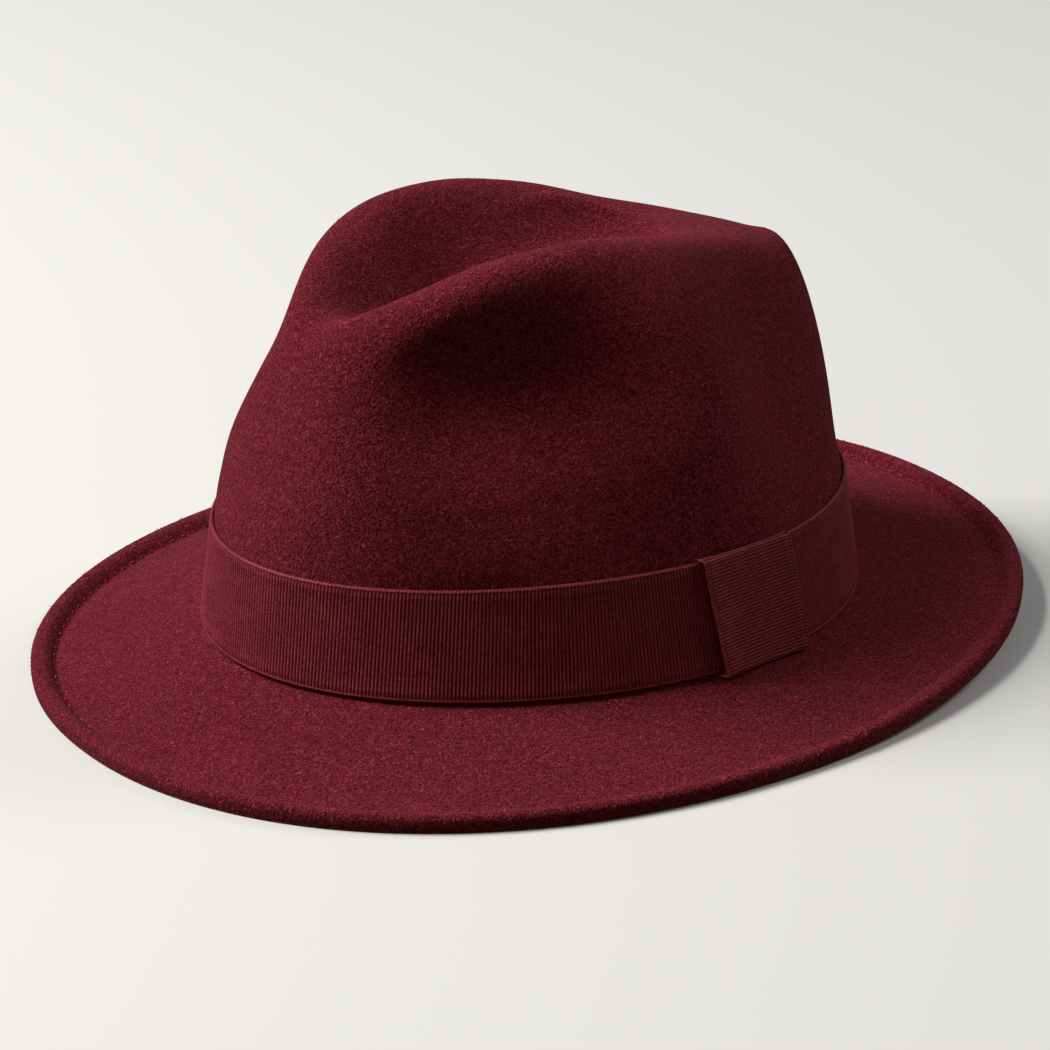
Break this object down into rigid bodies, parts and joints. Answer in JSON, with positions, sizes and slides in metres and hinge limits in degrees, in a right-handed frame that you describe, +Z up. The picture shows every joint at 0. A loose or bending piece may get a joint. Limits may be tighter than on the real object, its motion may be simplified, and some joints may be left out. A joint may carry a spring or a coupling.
{
  "type": "felt fedora",
  "caption": "Soft fedora of moulded felt with a teardrop crown, side pinches, a rolled rim and a grosgrain ribbon, for wearing on the head.",
  "frame": {"origin": "on the floor under the middle of the brim", "axes": "+Z up, the front of the hat faces -Y and the back +Y, the wearer's left is +X"},
  "size_m": [0.249, 0.3048, 0.1299],
  "materials": {
    "wine_felt": "matt wool felt with a short nap",
    "grosgrain_ribbon": "ribbed grosgrain with a faint sheen"
  },
  "bodies": {
    "root": {"felt_body": "wine_felt", "ribbon_band": "grosgrain_ribbon", "ribbon_wrap": "grosgrain_ribbon"}
  },
  "joints": []
}
